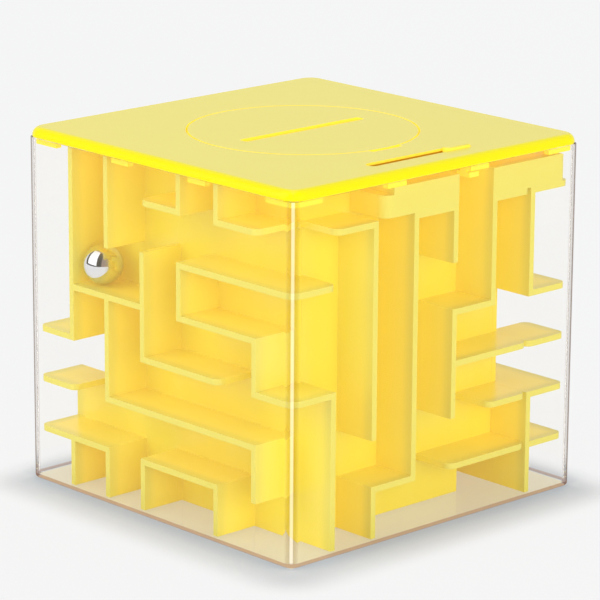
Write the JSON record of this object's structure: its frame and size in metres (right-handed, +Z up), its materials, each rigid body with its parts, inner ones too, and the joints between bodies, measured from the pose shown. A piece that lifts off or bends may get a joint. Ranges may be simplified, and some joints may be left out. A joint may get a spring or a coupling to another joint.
{
  "type": "maze coin cube",
  "caption": "Clear cube with a ball maze wrapped round a square yellow coin box, chrome ball, and a yellow lid with a slotted coin disc and a sliding edge latch.",
  "frame": {"origin": "centre of the underside of the clear case", "axes": "+Z up through the lid, -Y out of the face that the ball rests behind, +X out of the face below the latch"},
  "size_m": [0.0904, 0.0904, 0.085],
  "materials": {
    "case_clear": "clear polished styrene",
    "core_yellow": "satin moulded, faintly translucent",
    "lid_yellow": "satin moulded",
    "ball_chrome": "polished",
    "screw_steel": "zinc plated"
  },
  "bodies": {
    "case": {"clear_case": "case_clear", "maze_front": "core_yellow", "maze_right": "core_yellow", "maze_back": "core_yellow", "maze_left": "core_yellow", "money_floor": "core_yellow", "latch_keeper": "core_yellow", "goal_block": "core_yellow"},
    "lid": {"lid_cover": "lid_yellow", "lid_liner": "lid_yellow", "lid_screws": "screw_steel", "slider_strip": "lid_yellow", "strip_screws": "screw_steel"},
    "disc": {"coin_disc": "lid_yellow", "disc_retainer": "lid_yellow", "disc_screws": "screw_steel"},
    "slider": {"latch_slider": "lid_yellow"},
    "ball": {"maze_ball": "ball_chrome"}
  },
  "joints": [
    {"name": "lid_lift", "type": "slide", "parent": "case", "child": "lid", "axis": [0, 0, 1], "range_m": [0, 0.04]},
    {"name": "disc_turn", "type": "hinge", "parent": "lid", "child": "disc", "pos_m": [0, 0, 0.0821], "axis": [0, 0, 1], "range_deg": [0, 90]},
    {"name": "latch_slide", "type": "slide", "parent": "lid", "child": "slider", "axis": [0, 1, 0], "range_m": [-0.0235, 0]},
    {"name": "ball_roll", "type": "slide", "parent": "case", "child": "ball", "axis": [1, 0, 0], "range_m": [0, 0.0136]}
  ]
}
